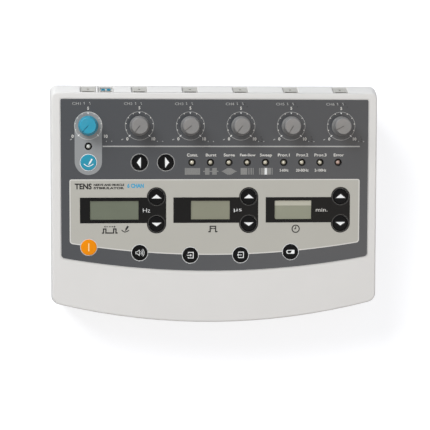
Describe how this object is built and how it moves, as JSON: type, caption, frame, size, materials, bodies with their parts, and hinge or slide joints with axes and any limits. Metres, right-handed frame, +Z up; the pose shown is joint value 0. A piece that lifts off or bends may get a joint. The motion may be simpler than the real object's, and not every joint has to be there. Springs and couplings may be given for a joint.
{
  "type": "electrotherapy stimulator",
  "caption": "Wedge-shaped desktop nerve stimulator with a sloping panel of level knobs, round keys, mode lamps, displays and rear output sockets",
  "frame": {"origin": "on the table, under the middle of the bounding box", "axes": "+Z up; +Y towards the rear, where the output sockets are; +X to the right as the user sees the panel"},
  "size_m": [0.238, 0.1722, 0.0662],
  "materials": {
    "case_plastic": "fine matt texture, warm off-white",
    "panel_film": "printed film, dark grey with a light inner panel",
    "key_black": "satin black",
    "key_blue": "satin blue",
    "key_orange": "satin orange",
    "knob_grey": "matt grey",
    "knob_blue": "matt blue",
    "control_housing": "dark moulded plastic",
    "display_glass": "grey-green liquid crystal display, unlit",
    "socket_grey": "matt grey",
    "socket_blue": "matt blue",
    "circuit_board": "green solder mask",
    "dome_sheet": "translucent white sheet",
    "lamp_plastic": "clear cream lens",
    "buzzer_plastic": "black moulded plastic",
    "jack_plastic": "black moulded plastic",
    "cell_sleeve": "printed metal sleeve",
    "foot_rubber": "matt rubber",
    "screw_steel": "zinc plated"
  },
  "bodies": {
    "case": {"top_case": "case_plastic", "panel_overlay": "panel_film", "dome_sheet": "dome_sheet", "control_board": "circuit_board", "mode_lamp_strip": "lamp_plastic", "probe_lamp": "lamp_plastic", "buzzer": "buzzer_plastic", "potentiometer_ch1": "control_housing", "potentiometer_ch2": "control_housing", "potentiometer_ch3": "control_housing", "potentiometer_ch4": "control_housing", "potentiometer_ch5": "control_housing", "potentiometer_ch6": "control_housing", "lcd_frequency": "display_glass", "lcd_pulse_width": "display_glass", "lcd_timer": "display_glass", "output_socket_ch1": "socket_grey", "output_socket_ch2": "socket_grey", "output_socket_ch3": "socket_grey", "output_socket_ch4": "socket_grey", "output_socket_ch5": "socket_grey", "output_socket_ch6": "socket_grey", "probe_socket": "socket_blue", "output_board": "circuit_board", "bottom_case": "case_plastic", "main_board": "circuit_board", "power_jack": "jack_plastic", "battery_cell_1": "cell_sleeve", "battery_cell_2": "cell_sleeve", "battery_cell_3": "cell_sleeve", "battery_cell_4": "cell_sleeve", "rubber_foot_front_left": "foot_rubber", "rubber_foot_front_right": "foot_rubber", "rubber_foot_rear_left": "foot_rubber", "rubber_foot_rear_right": "foot_rubber", "case_screw_front_left": "screw_steel", "case_screw_front_right": "screw_steel", "case_screw_rear_left": "screw_steel", "case_screw_rear_right": "screw_steel"},
    "key_probe": {"key_probe": "key_blue"},
    "key_mode_left": {"key_mode_left": "key_black"},
    "key_mode_right": {"key_mode_right": "key_black"},
    "key_frequency_up": {"key_frequency_up": "key_black"},
    "key_frequency_down": {"key_frequency_down": "key_black"},
    "key_pulse_width_up": {"key_pulse_width_up": "key_black"},
    "key_pulse_width_down": {"key_pulse_width_down": "key_black"},
    "key_timer_up": {"key_timer_up": "key_black"},
    "key_timer_down": {"key_timer_down": "key_black"},
    "key_power": {"key_power": "key_orange"},
    "key_sound": {"key_sound": "key_black"},
    "key_output_a": {"key_output_a": "key_black"},
    "key_output_b": {"key_output_b": "key_black"},
    "key_battery_check": {"key_battery_check": "key_black"},
    "knob_ch1": {"knob_ch1": "knob_blue"},
    "knob_ch2": {"knob_ch2": "knob_grey"},
    "knob_ch3": {"knob_ch3": "knob_grey"},
    "knob_ch4": {"knob_ch4": "knob_grey"},
    "knob_ch5": {"knob_ch5": "knob_grey"},
    "knob_ch6": {"knob_ch6": "knob_grey"},
    "battery_door": {"battery_door": "case_plastic"}
  },
  "joints": [
    {"name": "knob_ch1_turn", "type": "hinge", "parent": "case", "child": "knob_ch1", "pos_m": [-0.0912, 0.05411, 0.05556], "axis": [0, 0.1392, -0.9903], "range_deg": [-12, 288]},
    {"name": "knob_ch2_turn", "type": "hinge", "parent": "case", "child": "knob_ch2", "pos_m": [-0.0548, 0.05411, 0.05556], "axis": [0, 0.1392, -0.9903], "range_deg": [-8, 292]},
    {"name": "knob_ch3_turn", "type": "hinge", "parent": "case", "child": "knob_ch3", "pos_m": [-0.0184, 0.05411, 0.05556], "axis": [0, 0.1392, -0.9903], "range_deg": [-22, 278]},
    {"name": "knob_ch4_turn", "type": "hinge", "parent": "case", "child": "knob_ch4", "pos_m": [0.018, 0.05411, 0.05556], "axis": [0, 0.1392, -0.9903], "range_deg": [-8, 292]},
    {"name": "knob_ch5_turn", "type": "hinge", "parent": "case", "child": "knob_ch5", "pos_m": [0.0544, 0.05411, 0.05556], "axis": [0, 0.1392, -0.9903], "range_deg": [-1, 299]},
    {"name": "knob_ch6_turn", "type": "hinge", "parent": "case", "child": "knob_ch6", "pos_m": [0.0908, 0.05411, 0.05556], "axis": [0, 0.1392, -0.9903], "range_deg": [-32, 268]},
    {"name": "key_probe_press", "type": "slide", "parent": "case", "child": "key_probe", "axis": [0, 0.1392, -0.9903], "range_m": [0, 0.0005], "stiffness_N_per_m": 300},
    {"name": "key_mode_left_press", "type": "slide", "parent": "case", "child": "key_mode_left", "axis": [0, 0.1392, -0.9903], "range_m": [0, 0.0005], "stiffness_N_per_m": 300},
    {"name": "key_mode_right_press", "type": "slide", "parent": "case", "child": "key_mode_right", "axis": [0, 0.1392, -0.9903], "range_m": [0, 0.0005], "stiffness_N_per_m": 300},
    {"name": "key_frequency_up_press", "type": "slide", "parent": "case", "child": "key_frequency_up", "axis": [0, 0.1392, -0.9903], "range_m": [0, 0.0005], "stiffness_N_per_m": 300},
    {"name": "key_frequency_down_press", "type": "slide", "parent": "case", "child": "key_frequency_down", "axis": [0, 0.1392, -0.9903], "range_m": [0, 0.0005], "stiffness_N_per_m": 300},
    {"name": "key_pulse_width_up_press", "type": "slide", "parent": "case", "child": "key_pulse_width_up", "axis": [0, 0.1392, -0.9903], "range_m": [0, 0.0005], "stiffness_N_per_m": 300},
    {"name": "key_pulse_width_down_press", "type": "slide", "parent": "case", "child": "key_pulse_width_down", "axis": [0, 0.1392, -0.9903], "range_m": [0, 0.0005], "stiffness_N_per_m": 300},
    {"name": "key_timer_up_press", "type": "slide", "parent": "case", "child": "key_timer_up", "axis": [0, 0.1392, -0.9903], "range_m": [0, 0.0005], "stiffness_N_per_m": 300},
    {"name": "key_timer_down_press", "type": "slide", "parent": "case", "child": "key_timer_down", "axis": [0, 0.1392, -0.9903], "range_m": [0, 0.0005], "stiffness_N_per_m": 300},
    {"name": "key_power_press", "type": "slide", "parent": "case", "child": "key_power", "axis": [0, 0.1392, -0.9903], "range_m": [0, 0.0005], "stiffness_N_per_m": 300},
    {"name": "key_sound_press", "type": "slide", "parent": "case", "child": "key_sound", "axis": [0, 0.1392, -0.9903], "range_m": [0, 0.0005], "stiffness_N_per_m": 300},
    {"name": "key_output_a_press", "type": "slide", "parent": "case", "child": "key_output_a", "axis": [0, 0.1392, -0.9903], "range_m": [0, 0.0005], "stiffness_N_per_m": 300},
    {"name": "key_output_b_press", "type": "slide", "parent": "case", "child": "key_output_b", "axis": [0, 0.1392, -0.9903], "range_m": [0, 0.0005], "stiffness_N_per_m": 300},
    {"name": "key_battery_check_press", "type": "slide", "parent": "case", "child": "key_battery_check", "axis": [0, 0.1392, -0.9903], "range_m": [0, 0.0005], "stiffness_N_per_m": 300},
    {"name": "battery_door_slide", "type": "slide", "parent": "case", "child": "battery_door", "axis": [0, 1, 0], "range_m": [0, 0.06]}
  ]
}
